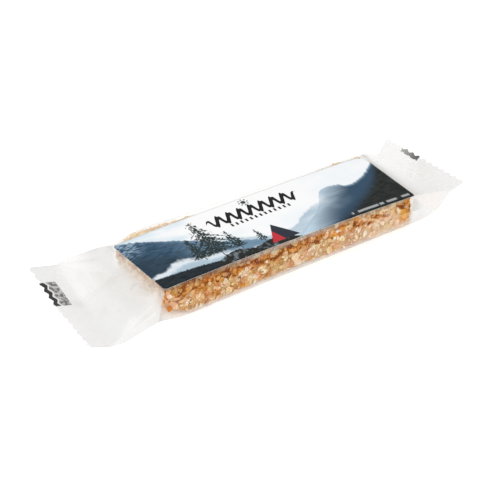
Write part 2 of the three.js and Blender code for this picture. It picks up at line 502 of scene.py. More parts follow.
THINNESS_SCALE, SYRUP_GRAIN_SCALE = 260.0, 1500.0
syrup_gloss, tree, shader = new_material("syrup_gloss")
spot = object_place(tree)
thinness = clamped((noise(spot, THINNESS_SCALE, 4.0) - 0.38) / 0.24)
amber = mix_colours(thinness, paint(188, 118, 50), paint(232, 182, 112))
syrup_look = {
    "Base Color": place_group(tree, honeyed, {"Colour": amber, "Cover": 1.0})["Colour"],
    "Roughness": 0.25,
    "Specular IOR Level": 0.1,
    "Subsurface Weight": 0.3,
    "Subsurface Radius": (1.0, 0.5, 0.2),
    "Subsurface Scale": 1.5 * MM,
    "Normal": relief(noise(spot, SYRUP_GRAIN_SCALE), 0.5, 0.3 * MM),
}
fill(shader, syrup_look)

syrup_sizes = {
    "Step": SYRUP_STEP,
    "Depth": SYRUP_DEPTH,
    "Lumps": SYRUP_LUMPS,
    "Lump scale": SYRUP_LUMP_SCALE,
    "Finish": syrup_gloss,
}
syrup = grown("syrup", core, syrup_sizes)
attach(syrup, "root")


# ---- Syrup drops ----
# A few drops of dark syrup ran out at the bar's front left corner and stick to the film there.
DROPS = (  # where each lies, and half its size
    ((-55.1, -17.5, 9.9), (0.55, 0.35, 0.9)),
    ((-55.9, -17.5, 8.2), (0.6, 0.35, 1.0)),
    ((-56.7, -17.5, 6.5), (0.45, 0.35, 0.8)),
    ((-53.6, -18.0, 4.4), (1.1, 0.5, 1.15)),
)


def ball(tree, roundness):
    return flow(tree, "GeometryNodeMeshIcoSphere", {"Radius": 1.0, "Subdivisions": roundness}, "Mesh")


def copied(points, **values):
    """Real copies of a piece at points."""
    copies = flow(points.tree, "GeometryNodeInstanceOnPoints", {"Points": points, **values})
    return flow(points.tree, "GeometryNodeRealizeInstances", {"Geometry": copies})


drop, given, result = new_group(
    "syrup_drop",
    "GeometryNodeTree",
    {"Geometry": "Geometry", "Roundness": "Int", "Finish": "Material"},
    {"Geometry": "Geometry"},
)
drop_size = flow(drop, "GeometryNodeInputNamedAttribute", {"Name": "size"}, data_type="FLOAT_VECTOR")
drops = copied(given["Geometry"], Instance=ball(drop, given["Roundness"]), Scale=drop_size)
fill(result, {"Geometry": dressed(smoothed(drops), given["Finish"])})

dark_syrup, tree, shader = new_material("dark_syrup")
cloudiness = noise(object_place(tree), 900.0, 4.0)
drop_amber = mix_colours(cloudiness, paint(176, 84, 12), paint(226, 146, 56))
fill(shader, {"Base Color": drop_amber, "Roughness": 0.2, "Specular IOR Level": 0.2})

drop_places = bpy.data.meshes.new("syrup_drops")
drop_places.from_pydata([Vector(place) * MM for place, _ in DROPS], [], [])
drop_sizes = drop_places.attributes.new("size", "FLOAT_VECTOR", "POINT")
drop_sizes.data.foreach_set("vector", [part * MM for _, half_sizes in DROPS for part in half_sizes])
syrup_drops = grown("syrup_drops", drop, {"Roundness": 3, "Finish": dark_syrup}, drop_places)
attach(syrup_drops, "root")


# ---- Nuts, puffed grain, oats and crumbs ----
# Chopped nuts, puffed rice, oat flakes, white slivers and crumbs fill the syrup. They lie every
# way, and the press and the knife leave them nearly flush, so each shows a flat or broken face.
SPRING_BACK = 0.07  # share of its height that a pressed piece keeps
CUTS = 5  # flat faces broken off each piece
SQUARES = (55, 18, 8)  # of the box on whose sides the pieces' middles lie
OWN_NOISE = 37.0  # how far apart the pieces take their lumps from the noise
spread, given, result = new_group(
    "scattered_pieces",
    "GeometryNodeTree",
    {
        "Spacing": "Float",
        "Depth": "Float",
        "Roundness": "Int",
        "Size": "Vector",
        "Size change": "Float",
        "Tumble": "Float",
        "Lumpiness": "Float",
        "Lump scale": "Float",
        "Cut depth": "Float",
        "Lowest": "Float",
        "Highest": "Float",
        "Crease angle": "Float",
        "Seed": "Int",
        "Finish": "Material",
    },
    {"Geometry": "Geometry"},
)


def seeded(seed, step, low, high, kind="FLOAT"):
    """A random number or vector for each point, with its own draw for each step."""
    values = {"Min": low, "Max": high, "Seed": seed + step}
    return flow(seed.tree, "FunctionNodeRandomValue", values, data_type=kind)


# Points spread evenly over a surface at the pieces' depth, each with its own random values.
seed = given["Seed"]
spot = flow(spread, "GeometryNodeInputPosition")
scattering = {
    "Mesh": bar_box(spread, SQUARES, spot, given["Depth"]),
    "Distance Min": given["Spacing"],
    "Density Max": 2.0 / (given["Spacing"] * given["Spacing"]),
    "Seed": seed,
}
points = add(spread, "GeometryNodeDistributePointsOnFaces", scattering, distribute_method="POISSON")
toned = marked(Flow(points.outputs["Points"]), "tone", seeded(seed, 1, 0.0, 1.0))
facts = {
    "centre": spot,
    "bulk": seeded(seed, 2, 1.0 - given["Size change"], 1.0),
    "proud": seeded(seed, 3, given["Lowest"], given["Highest"]),
}
for cut in range(CUTS):
    facts[f"cut {cut}"] = seeded(seed, 4 + cut, (-1,) * 3, (1,) * 3, "FLOAT_VECTOR")
kept = add(spread, "GeometryNodeCaptureAttribute", {"Geometry": toned}, domain="POINT")
for name, value in facts.items():
    kept.capture_items.new("VECTOR" if is_vector(value) else "FLOAT", name)
fill(kept, facts)
facts = {name: Flow(kept.outputs[name]) for name in facts}

# A ball at each point, tumbled and stretched its own way, made lumpy, cut flat and pressed flush.
tilt = given["Tumble"]
lowest_turn = joined(-1.0 * tilt, -1.0 * tilt, -math.pi)
tumble = seeded(seed, 20, lowest_turn, joined(tilt, tilt, math.pi), "FLOAT_VECTOR")
turn = {"Rotation": Flow(points.outputs["Rotation"]), "Rotate By": tumble}
stretch = seeded(seed, 21, (0.8,) * 3, (1.2,) * 3, "FLOAT_VECTOR")
balls = copied(
    Flow(kept.outputs["Geometry"]),
    Instance=ball(spread, given["Roundness"]),
    Rotation=flow(spread, "FunctionNodeRotateRotation", turn, rotation_space="LOCAL"),
    Scale=given["Size"] * stretch * facts["bulk"],
)
lumps = noise(facts["centre"] * OWN_NOISE + spot, given["Lump scale"], 2.0)
away = (spot - facts["centre"]) * ((lumps - 0.5) * given["Lumpiness"] + 1.0)
cut_depth = calc("LENGTH", given["Size"]) * given["Cut depth"] * facts["bulk"]
for cut in range(CUTS):
    facing = calc("NORMALIZE", facts[f"cut {cut}"])
    away = away - facing * largest(calc("DOT_PRODUCT", away, facing) - cut_depth, 0.0)
shaped = facts["centre"] + away
pressing = place_group(spread, pressed, {"Place": shaped, "Proud": facts["proud"]})
flush = shaped * SPRING_BACK + pressing["Place"] * (1 - SPRING_BACK)
smooth = smoothed(moved(marked(balls, "depth", pressing["Depth"]), Position=flush))
angle = flow(spread, "GeometryNodeInputMeshEdgeAngle", output="Unsigned Angle")
sharp = flow(
    spread, "FunctionNodeCompare", {"A": angle, "B": given["Crease angle"]}, operation="GREATER_THAN"
)
creases = {"Geometry": smooth, "Selection": sharp, "Shade Smooth": False}
creased = flow(spread, "GeometryNodeSetShadeSmooth", creases, domain="EDGE")
fill(result, {"Geometry": dressed(creased, given["Finish"])})

# Colour of food that was chopped or puffed and then toasted: three colours by the piece's own tone,
# with blotches, and a grainy surface.
toasted, given, result = new_group(
    "toasted",
    "ShaderNodeTree",
    {
        "Dark": "Color",
        "Middle": "Color",
        "Light": "Color",
        "Blotch": "Float",
        "Grain scale": "Float",
        "Cover": "Float",
    },
    {"Colour": "Color", "Grain": "Float", "Wet": "Float"},
)
BLOTCH_SCALE = 700.0
spot = object_place(toasted)
tone = (noise(spot, BLOTCH_SCALE, 6.0) - 0.5) * given["Blotch"] + stored(toasted, "tone")
lower = mix_colours(smooth_step(tone, 0.05, 0.5), given["Dark"], given["Middle"])
food = mix_colours(smooth_step(tone, 0.5, 0.95), lower, given["Light"])
glazed = place_group(toasted, honeyed, {"Colour": food, "Cover": given["Cover"]})
fill(result, {**glazed, "Grain": noise(spot, given["Grain scale"], 5.0)})


def toasted_material(name, dark, middle, light, blotch, grain_scale, grain, cover):
    material, tree, shader = new_material(name)
    values = {
        "Dark": paint(*dark),
        "Middle": paint(*middle),
        "Light": paint(*light),
        "Blotch": blotch,
        "Grain scale": grain_scale,
        "Cover": cover,
    }
    food = place_group(tree, toasted, values)
    look = {
        "Base Color": food["Colour"],
        "Coat Weight": 0.2 * food["Wet"],
        "Coat Roughness": 0.12,
        "Roughness": 0.4,
        "Specular IOR Level": 0.1,
        "Subsurface Weight": 0.25,
        "Subsurface Radius": (1.0, 0.6, 0.35),
        "Subsurface Scale": 1.0 * MM,
        "Normal": relief(food["Grain"], grain, 0.2 * MM),
    }
    fill(shader, look)
    return material


# Three colours each, then how blotchy, how fine and rough the grain, and how much syrup covers it.
nut_flesh = toasted_material(
    "nut_flesh", (166, 104, 58), (214, 162, 112), (250, 224, 184), 2.2, 1600.0, 0.6, 0.9
)
puffed_rice = toasted_material(
    "puffed_rice", (222, 170, 100), (244, 218, 174), (254, 246, 230), 1.4, 2400.0, 0.6, 0.35
)
oat_flake = toasted_material(
    "oat_flake", (200, 146, 94), (228, 190, 146), (250, 238, 216), 1.4, 2000.0, 0.6, 0.5
)
nut_sliver = toasted_material(
    "nut_sliver", (250, 234, 210), (254, 246, 232), (255, 252, 246), 0.8, 2000.0, 0.5, 0.1
)
toffee_crumb = toasted_material(
    "toffee_crumb", (186, 112, 50), (230, 176, 104), (254, 240, 216), 1.0, 2000.0, 0.4, 0.5
)

# How closely and how deep each kind lies, its half sizes, how it varies, and how far it stands out.
KINDS = {
    "nut_pieces": {
        "Spacing": 3.2 * MM,
        "Depth": 1.5 * MM,
        "Roundness": 2,
        "Size": Vector((3.6, 2.8, 2.3)) * MM,
        "Size change": 0.45,
        "Tumble": math.pi,
        "Lumpiness": 0.9,
        "Lump scale": 330.0,
        "Cut depth": 0.3,
        "Lowest": -0.5 * MM,
        "Highest": 0.05 * MM,
        "Crease angle": math.radians(50),
        "Seed": 11,
        "Finish": nut_flesh,
    },
    "puffed_grains": {
        "Spacing": 2.7 * MM,
        "Depth": 0.8 * MM,
        "Roundness": 2,
        "Size": Vector((1.5, 0.85, 0.75)) * MM,
        "Size change": 0.5,
        "Tumble": math.radians(50),
        "Lumpiness": 1.0,
        "Lump scale": 900.0,
        "Cut depth": 0.55,
        "Lowest": -0.3 * MM,
        "Highest": 0.15 * MM,
        "Crease angle": math.radians(60),
        "Seed": 23,
        "Finish": puffed_rice,
    },
    "oat_flakes": {
        "Spacing": 5.5 * MM,
        "Depth": 0.6 * MM,
        "Roundness": 2,
        "Size": Vector((2.4, 1.7, 0.35)) * MM,
        "Size change": 0.4,
        "Tumble": math.radians(25),
        "Lumpiness": 0.7,
        "Lump scale": 500.0,
        "Cut depth": 0.6,
        "Lowest": -0.2 * MM,
        "Highest": 0.2 * MM,
        "Crease angle": math.radians(60),
        "Seed": 37,
        "Finish": oat_flake,
    },
    "nut_slivers": {
        "Spacing": 7.0 * MM,
        "Depth": 0.3 * MM,
        "Roundness": 2,
        "Size": Vector((1.9, 1.1, 0.6)) * MM,
        "Size change": 0.5,
        "Tumble": math.radians(30),
        "Lumpiness": 1.0,
        "Lump scale": 600.0,
        "Cut depth": 0.4,
        "Lowest": 0.0 * MM,
        "Highest": 0.25 * MM,
        "Crease angle": math.radians(50),
        "Seed": 71,
        "Finish": nut_sliver,
    },
    "crumbs": {
        "Spacing": 1.5 * MM,
        "Depth": 0.45 * MM,
        "Roundness": 1,
        "Size": Vector((0.65, 0.5, 0.4)) * MM,
        "Size change": 0.6,
        "Tumble": math.pi,
        "Lumpiness": 1.2,
        "Lump scale": 1300.0,
        "Cut depth": 0.5,
        "Lowest": -0.2 * MM,
        "Highest": 0.2 * MM,
        "Crease angle": math.radians(35),
        "Seed": 53,
        "Finish": toffee_crumb,
    },
}
for name, values in KINDS.items():
    pieces = grown(name, spread, values)
    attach(pieces, "root")


# ---- Film ----
# The pack is a tube of clear film round the bar, sealed along its underside and crimped flat
# across both ends, where a zigzag knife cut it off. It is loose and a little crumpled near the ends.
TOP = 13.1  # this section works in millimetres; the mesh is turned to metres at its end
LOW = 0.4
FIN = 0.24  # the two layers and the little air between them in a sealed end
SEAM_WIDTH = 11.0
TEETH = 13
TOOTH_DEPTH, RIGHT_TOOTH_DEPTH = 1.25, 0.9
RIB_PITCH, RIB_HEIGHT = 1.25, 0.02
WALL_STEPS, CORNER_STEPS, FLAT_STEPS = 10, 12, 110  # squares of the mesh across each part of a layer
ACROSS = 2 * (WALL_STEPS + CORNER_STEPS) + FLAT_STEPS
AROUND = 2 * ACROSS


BACK_TOP, FRONT_TOP, FRONT_LOW, BACK_LOW = range(4)


def box_section(x, half_width, lean, radius):
    """Four corners of the film round the bar."""
    across = (half_width + lean, lean - half_width, -half_width - lean, half_width - lean)
    corners = np.array([(x, y, z) for y, z in zip(across, (TOP, TOP, LOW, LOW))])
    return {"corners": corners, "radius": radius, "sag": 0.0}


def flat_section(back, front, sag):
    """The tube pressed flat between two ends."""
    half = np.array((0, 0, FIN / 2))
    corners = np.array([back + half, front + half, front - half, back - half])
    return {"corners": corners, "radius": FIN / 3, "sag": sag}


LEFT_CUT = (np.array((-87.9, 23.0, 11.4)), np.array((-91.0, -24.6, 6.6)))
LEFT_INNER = (np.array((-75.9, 23.0, 8.2)), np.array((-80.4, -23.0, 1.4)))
LEFT_SAG = 1.4
RIGHT_CUT = (np.array((76.9, 28.2, 7.0)), np.array((77.6, -20.0, 13.2)))
RIGHT_INNER = (np.array((72.6, 27.4, 1.8)), np.array((71.8, -19.3, 10.7)))

left_end = flat_section(*LEFT_INNER, LEFT_SAG)
left_mouth = box_section(x=-55.8, half_width=17.3, lean=0.2, radius=1.4)
left_mouth["corners"][FRONT_TOP] += (0.4, 0, 0)
left_mouth["corners"][FRONT_LOW] += (-2.4, -1.0, 0)
loose_place = box_section(x=-44, half_width=18.7, lean=1.0, radius=2.0)
loose_place["corners"][BACK_TOP] += (0, 0.8, 0.5)
loose_place["corners"][FRONT_LOW] += (-6, -1.0, 0)
right_mouth = box_section(x=55.4, half_width=17.5, lean=0.0, radius=1.5)
shoulder_corners = [(65.4, 22.6, 7.0), (65.6, -18.5, 12.0), (66.8, -17.0, 1.4), (66.8, 20.6, LOW)]
right_shoulder = {"corners": np.array(shoulder_corners), "radius": 1.0, "sag": 0.0}
right_end = flat_section(*RIGHT_INNER, 0.0)

# From one section to the next: rows of the mesh, and how far the film is blown out between them.
RUNS = (
    (left_end, left_mouth, 60, 1.1),
    (left_mouth, loose_place, 26, 0.0),
    (loose_place, right_mouth, 56, 0.0),
    (right_mouth, right_shoulder, 22, 0.3),
    (right_shoulder, right_end, 24, 0.3),
)
LEFT_BAND_ROWS = 44
RIGHT_BAND_ROWS = 28


def straight(start, end, steps):
    """Points from a start up to, but not with, an end."""
    return start + (end - start) * (np.arange(steps) / steps)[:, None]


def bend(start, corner, end, steps):
    """The same, on a curve that rounds off a corner."""
    share = (np.arange(steps) / steps)[:, None]
    return (1 - share) ** 2 * start + 2 * share * (1 - share) * corner + share**2 * end


def toward(corner, other, distance):
    return corner + (other - corner) / np.linalg.norm(other - corner) * distance


def layer(fold, first, last, next_fold, first_radius, last_radius, shoulder=1.0):
    """Points from one fold over two rounded corners to the next fold."""
    arrive, leave = toward(first, fold, first_radius), toward(last, next_fold, last_radius)
    flat_start = toward(first, last, first_radius)
    flat_end = toward(last, first, last_radius * shoulder)
    return [
        straight(fold, arrive, WALL_STEPS),
        bend(arrive, first, flat_start, CORNER_STEPS),
        straight(flat_start, flat_end, FLAT_STEPS),
        bend(flat_end, last, leave, CORNER_STEPS),
        straight(leave, next_fold, WALL_STEPS),
    ]


def ring(corners, radius, sag, brow=None, shoulder=1.0):
    """Points round the film, from the middle of its back wall over the top and back below."""
    back_top, front_top, front_low, back_low = corners
    back, front = (back_top + back_low) / 2, (front_top + front_low) / 2
    points = np.vstack(
        layer(back, back_top, front_top, front, radius, brow or radius, shoulder)
        + layer(front, front_low, back_low, back, radius, radius)
    )
    span = front - back
    share = np.clip((points - back) @ span / (span @ span), 0, 1)
    points[:, 2] -= 4 * sag * share * (1 - share)
    return points


def zigzag(value):
    """Straight slopes up and down between -1 and 1, with a crease at each turn."""
    return 4 * np.abs(value - np.floor(value + 0.5)) - 1


place_round = np.arange(AROUND)
in_upper = place_round <= ACROSS
mirrored = np.where(in_upper, place_round, AROUND - place_round)  # the upper layer's place over each


def band(inner_ring, cut, inner, sag, tooth_depth, shares):
    """Rows of a sealed end, from its inner line to its toothed cut."""
    share = mirrored / ACROSS
    line = cut[0] + (cut[1] - cut[0]) * share[:, None]
    to_cut = line - (inner[0] + (inner[1] - inner[0]) * share[:, None])
    to_cut /= np.linalg.norm(to_cut, axis=1)[:, None]
    line = line + to_cut * (zigzag(share * TEETH) * tooth_depth / 2)[:, None]
    line[:, 2] -= 4 * sag * share * (1 - share)
    fold = np.minimum(share, 1 - share) * ACROSS / 2
    line[:, 2] += np.where(in_upper, 1, -1) * FIN / 2 * np.minimum(fold, 1)
    reach = np.linalg.norm(line - inner_ring, axis=1)
    lift = np.cross(to_cut, cut[0] - cut[1])
    lift *= (np.sign(lift[:, 2]) / np.linalg.norm(lift, axis=1))[:, None]
    rows = []
    for part in shares:
        ribs = RIB_HEIGHT * np.sin(2 * math.pi * part * reach / RIB_PITCH) * min(1, 6 * part)
        rows.append(inner_ring + (line - inner_ring) * part + lift * ribs[:, None])
    return rows


cut_to_inner = 1 - np.arange(LEFT_BAND_ROWS) / LEFT_BAND_ROWS
rows = band(ring(**left_end), LEFT_CUT, LEFT_INNER, LEFT_SAG, TOOTH_DEPTH, cut_to_inner)
for start, end, count, bulge in RUNS:
    for share in np.arange(count) / count:
        corners = start["corners"] + (end["corners"] - start["corners"]) * share
        blown = bulge * math.sin(math.pi * share)
        corners[[BACK_TOP, FRONT_TOP], 2] += blown
        lower = corners[[FRONT_LOW, BACK_LOW], 2] - blown
        corners[[FRONT_LOW, BACK_LOW], 2] = np.maximum(LOW, lower)
        radius = start["radius"] + (end["radius"] - start["radius"]) * share
        sag = start["sag"] + (end["sag"] - start["sag"]) * share
        brow, shoulder = radius, 1.0
        if start is left_end:
            wall = np.linalg.norm(corners[FRONT_TOP] - corners[FRONT_LOW])
            brow = min(radius + 0.4 * wall * math.sin(math.pi * share) ** 0.6, 0.42 * wall)
            shoulder += math.sin(math.pi * share)
        rows.append(ring(corners, radius, sag, brow, shoulder))
inner_to_cut = np.arange(RIGHT_BAND_ROWS + 1) / RIGHT_BAND_ROWS
rows += band(ring(**right_end), RIGHT_CUT, RIGHT_INNER, 0.0, RIGHT_TOOTH_DEPTH, inner_to_cut)
film_grid = np.array(rows)
ROWS = len(rows)

# Where each point lies on the flat film: across it from the back fold, and along it, in mm.
upper = np.broadcast_to(in_upper, (ROWS, AROUND))
step_length = np.linalg.norm(np.diff(film_grid, axis=1, append=film_grid[:, :1]), axis=2)
travelled = np.cumsum(step_length, axis=1) - step_length
across = np.where(upper, travelled, step_length.sum(1)[:, None] - travelled)
width = across.max(1)[:, None]
row_length = np.linalg.norm(np.diff(film_grid, axis=0), axis=2)
along = np.vstack([np.zeros(AROUND), np.cumsum(row_length, axis=0)])
from_cut = np.minimum(along, along[-1] - along)
from_line = from_cut - TOOTH_DEPTH / 2 * zigzag(mirrored / ACROSS * TEETH)


def eased(value, low, high):
    """Goes softly from 0 at one limit to 1 at the other."""
    share = np.clip((value - low) / (high - low), 0, 1)
    return share * share * (3 - 2 * share)


def between(value, low, high, soft):
    """1 between two limits and 0 outside, with soft edges."""
    return eased(value, low - soft, low + soft) * (1 - eased(value, high - soft, high + soft))


def softened(grid, rounds, free):
    """Rounds off the kinks along the pack, where it is free to move."""
    for _ in range(rounds):
        mean = grid.copy()
        mean[1:-1] = (grid[:-2] + 2 * grid[1:-1] + grid[2:]) / 4
        grid = grid + (mean - grid) * free[:, :, None]
    return grid


def outward(grid):
    """Which way the film faces at each point."""
    sideways = np.roll(grid, -1, axis=1) - np.roll(grid, 1, axis=1)
    direction = np.cross(sideways, np.gradient(grid, axis=0))
    return direction / np.maximum(np.linalg.norm(direction, axis=2), 1e-9)[:, :, None]


def crumples(a, b):
    """Flat facets between soft creases, as in stiff film that was folded and pulled straight."""
    wander = 0.11 * np.sin(a / 5.1 + 1.3) + 0.15 * np.sin(b / 7.7 + a / 9.0)
    height = 0
    for length, angle, phase, share in ((31, 0.5, 0.2, 0.6), (19, 2.2, 0.6, 0.4)):
        turned = a * math.cos(angle) + b * math.sin(angle)
        height = height + share * zigzag(turned / length + phase + wander)
    return height


def fold_distance(points, start, end):
    """How far each point is from the line between two points."""
    start, line = np.array(start, float), np.subtract(end, start, dtype=float)
    share = np.clip((points - start) @ line / (line @ line), 0, 1)
    return np.linalg.norm(points - start - share[..., None] * line, axis=-1)


def close_to(value, centre, width):
    """1 at a place, falling off softly on both sides."""
    return np.exp(-(((value - centre) / width) ** 2))


# Sharp folds in the loose ends: from where to where, how high, and how wide on each side.
FOLDS = (
    ((-73, 25, 9), (-74, 2, 6), 0.2, 6.0),
    ((-66, 22, 12), (-68, -2, 9), -0.2, 6.0),
    ((-88, 1, 8), (-64, 2, 10), 0.12, 2.0),
    ((-65, -6, 9.8), (-61, -14, 11), 0.12, 1.8),
    ((-61.5, -7, 11.2), (-58.5, -14.5, 12), 0.12, 1.6),
    ((-55.8, 16, 13), (-70, 22, 8), 0.4, 4.0),
    ((55.5, -17.5, 12.8), (67.5, -16.5, 1.8), 0.4, 3.2),
    ((57, -17, 13), (73, 3, 8.3), 0.25, 4.0),
    ((56, 17, 13), (70, 23, 5), 0.4, 4.0),
)

# The bar under the film is a little thicker at its middle.
share = np.clip((film_grid[:, :, 2] - LOW) / (TOP - LOW), 0, 1)
dome = DOME / MM * np.maximum(0, 1 - (film_grid[:, :, 0] / (DOME_HALF / MM)) ** 2)
film_grid[:, :, 2] += dome * share
# Along the back of its middle the film is pulled tight.
TIGHTNESS = 0.8
tight = between(film_grid[:, :, 0], -32, 40, 8) * eased(film_grid[:, :, 1], 10, 16)
film_grid[:, :, 1] -= TIGHTNESS * tight

LOOSE_ROUNDS, STRIP_ROUNDS = 14, 90
row = np.arange(ROWS)[:, None]
unsealed = (row > LEFT_BAND_ROWS + 1) & (row < ROWS - RIGHT_BAND_ROWS - 3)
film_grid = softened(film_grid, LOOSE_ROUNDS, np.broadcast_to(unsealed, (ROWS, AROUND)))
# At the front left the sealed strip runs on into the loose film without a step.
near_line = eased(row, 14, 34) * (1 - eased(row, 62, 84))
film_grid = softened(film_grid, STRIP_ROUNDS, near_line * eased(mirrored / ACROSS, 0.46, 0.62))
x = film_grid[:, :, 0]
facing = outward(film_grid)
off_bar = np.maximum(1 - eased(x, -62, -55.5), eased(x, 55, 60))
off_seals = eased(x, -79, -73) * (1 - eased(x, 68, 72))
crumple_height = 0.04 + off_bar * (0.06 + np.where(x > 0, 0.1, 0.3) * off_seals)
# Both layers move together, as the upper one faces, so that they never pass through each other.
lifting = facing[:, mirrored]
film_grid = film_grid + lifting * (crumple_height * crumples(across, along))[:, :, None]
loose = eased(np.abs(x), 56, 58.5)
creased = np.zeros((ROWS, AROUND))
for start, end, fold_height, fold_width in FOLDS:
    closeness = np.maximum(0, 1 - fold_distance(film_grid, start, end) / fold_width)
    closeness = np.where(upper, closeness, closeness[:, mirrored])
    height = closeness * fold_height * (0.2 + 0.8 * off_seals) * loose
    film_grid = film_grid + lifting * height[:, :, None]
    creased = np.maximum(creased, closeness**3)

# The folded long seam under the pack, which the pack lies on.
off_middle = np.abs(across - width / 2)
seam = (1 - eased(off_middle, SEAM_WIDTH / 2 - 0.2, SEAM_WIDTH / 2 + 0.3)) * ~upper
low_limit = np.where(upper, LOW + 0.15, LOW) - LOW * seam
film_grid[:, :, 2] = np.maximum(film_grid[:, :, 2] - LOW * seam, low_limit)

# How milky the film is: clear against the bar, hazy where it is creased, folded or sealed. The haze over
# the ends is partly painted reflection, for the bright room mirrored in the film there.
x, y, z = np.moveaxis(film_grid, 2, 0)
facing_back = facing[:, :, 1]
fold_line = -55.5 - 0.2 * (13 - z) * (y < -12)
end_line = 54.2 + 1.6 * eased(y, 11, 14)
off_bar = np.maximum(1 - eased(x, fold_line - 0.5, fold_line + 0.5), eased(x, end_line, end_line + 1.6))
loose_top = 0.34 * close_to(z, 14.1, 1.1) * close_to(x, -4, 34) * (y < 0)
low_edge = 1 - eased(z, 0.45, 1.2)
washed = 0.1 * eased(x, -12, 30) * (1 - eased(z, 3, 10))
back_strip = 0.2 * (1 - eased(x, -31, -23)) + 0.05 + 0.25 * eased(x, 33, 38)
back_strip *= eased(y, 14, 15.5) * eased(z, 9, 12)
back_edge = 0.9 * close_to(facing_back, 0.65, 0.2) * (facing[:, :, 2] > 0)
back_edge *= eased(x, -32, -24) * (1 - 0.7 * eased(x, 47, 50))
low_wall = 0.28 * (1 - eased(z, 1.2, 4.0)) * (1 - low_edge)
on_bar = 0.006 + loose_top + 0.6 * low_edge + low_wall + washed + back_strip + back_edge
corner_line = 0.25 * close_to(x, fold_line - 0.2, 0.4) * (y < -15)

# The left end: its seal, folds and edges are hazy, and two flat facets between them are clearer, which
# paints them brighter, as facets that catch the light.
at_left, at_right = x < 0, x > 0
seal_haze = 0.14 * (1 - eased(x, -80, -76)) * eased(y, 0, 3)
mouth_haze = (0.2 * between(x, -68, -60.5, 3.5) - 0.1 * eased(x, -60, -56)) * at_left
front_haze = 0.25 * (eased(x, -84, -76) - eased(x, -72, -64)) * eased(y, 3, -1) * at_left
long_fold = 2 - 0.04 * (x + 64)  # where the fold from the left cut to the bar runs
fold_haze = 0.12 * close_to(y, long_fold, 0.5) * (1 - eased(x, -66, -63)) * upper
fold_haze += 0.2 * close_to(y, -7, 1.2) * between(x, -64, -59, 0.6) * upper
corner_haze = 0.1 * (1 - eased(y, -16, -12)) * between(x, -62, -57, 2)
edge_haze = 0.3 * (1 - eased(np.minimum(across, width - across), 0.3, 1.2)) * (x < -60)
left_haze = seal_haze + mouth_haze + front_haze + fold_haze + corner_haze + edge_haze
lit_facet = between(x + 0.12 * y, -71.5, -64, 1.2) * between(y, 2.5, 26, 1.5)
lit_facet = np.maximum(lit_facet, between(x + 0.3 * y, -78, -73.5, 1.2) * between(y, -17, -3, 3))

# The right end: hazy next to the bar and on its front fin, and clearer over a crease in its wall, which
# paints that facet brighter, as one that catches the light.
across_fin = (y + 16) * 17 / 19 - (x - 56)
front_fin = eased(-across_fin, -0.8, 0.8) * (x > 55)
below_crease = eased((67.5 - x) * 11 / 12 + 1.8 - z, -0.3, 0.3) * (x > 55) * (y < -10)
on_front_wall = (x > 55) * (y < -15) * (facing_back < -0.5)
lit_facet = np.maximum(lit_facet, on_front_wall * (1 - below_crease))
right_haze = (0.25 * (1 - eased(x, 56, 62)) - 0.2 * eased(x, 60, 66)) * at_right
right_haze += 0.14 * front_fin * (facing_back > -0.5)

in_ends = 0.6 + 0.1 * seam + left_haze + right_haze
in_ends -= np.where(at_right, 0.4, 0.16) * lit_facet * (upper | at_right)
low_corner = between(x, -62, -54, 1.5) * (1 - eased(z, 1.5, 4)) * (y < -12)
haze = on_bar + (in_ends - on_bar) * off_bar - 0.2 * creased * off_bar + corner_line + 0.3 * low_corner
haze = np.clip(haze, 0.005, 1)

# Painted shade in the film's colour: greyer over the bar's ends, where their shadow shows through,
# along the long fold and a small arched crease, along the fold at the front left corner, at the
# low edge in front of the bar, and in the label's shadow along its left edge.
arched_crease = -6.5 - 0.25 * (x + 61.5) ** 2
label_edge = -56.4 - 0.036 * y
greyness = 0.2 * between(x, -68, -57, 3) + (1 - eased(x, 55, 62)) * (x > 0)
greyness += 0.2 * close_to(y, long_fold, 2.0) * between(x, -84, -63, 3)
greyness += 0.4 * close_to(y, arched_crease, 0.6) * between(x, -64, -59.5, 0.8)
label_shadow = close_to(x, label_edge - 0.4, 0.8) * (y > -17) * (z > 9) * upper
greyness = greyness * off_bar * upper + 4 * corner_line + 0.2 * low_corner + 0.9 * label_shadow
greyness += (0.1 + 0.6 * eased(x, -20, 10)) * (1 - eased(z, 0.45, 0.9)) * (1 - off_bar)
greyness = np.clip(greyness, 0, 1)


def grid_mesh(name, grid):
    """A mesh of squares on rings that close on themselves, with its two ends closed flat."""
    count, per_ring = grid.shape[:2]
    index = np.arange(count * per_ring).reshape(count, per_ring)
    side = np.roll(index, -1, axis=1)
    faces = np.stack([index[:-1], side[:-1], side[1:], index[1:]], axis=-1).reshape(-1, 4).tolist()
    half = per_ring // 2
    for ring_index, turned in ((index[0], False), (index[-1], True)):
        for i in range(half):
            corners = ring_index[[i, -i % per_ring, -(i + 1) % per_ring, i + 1]]
            face = list(dict.fromkeys(corners.tolist()))
            faces.append(face[::-1] if turned else face)
    mesh = bpy.data.meshes.new(name)
    mesh.from_pydata((grid.reshape(-1, 3) * MM).tolist(), [], faces)
    mesh.polygons.foreach_set("use_smooth", [True] * len(mesh.polygons))
    return mesh


film_mesh = grid_mesh("film", film_grid)
film_facts = {
    "haze": haze,
    "greyness": greyness,
    "share_across": across / width,
    "from_cut": from_cut,
    "from_line": from_line,
    "upper": upper,
}
for name, values in film_facts.items():
    attribute = film_mesh.attributes.new(name, "FLOAT", "POINT")
    attribute.data.foreach_set("value", np.ascontiguousarray(values, np.float32).ravel())


def within(value, low, high, soft):
    """The same as between, for a material."""
    rise = smooth_step(value, low - soft, low + soft)
    return rise * (1.0 - smooth_step(value, high - soft, high + soft))


clear_film, tree, shader = new_material("clear_film")
spot = object_place(tree)
along_pack = parts(spot)[0]
facts = {name: stored(tree, name) for name in film_facts}
# Partly painted reflection: over the ends this haze stands in for the room mirrored in the film.
milkiness_and_reflection = facts["haze"] * (1.0 + 0.35 * (noise(spot, 60.0, 4.0) - 0.5))

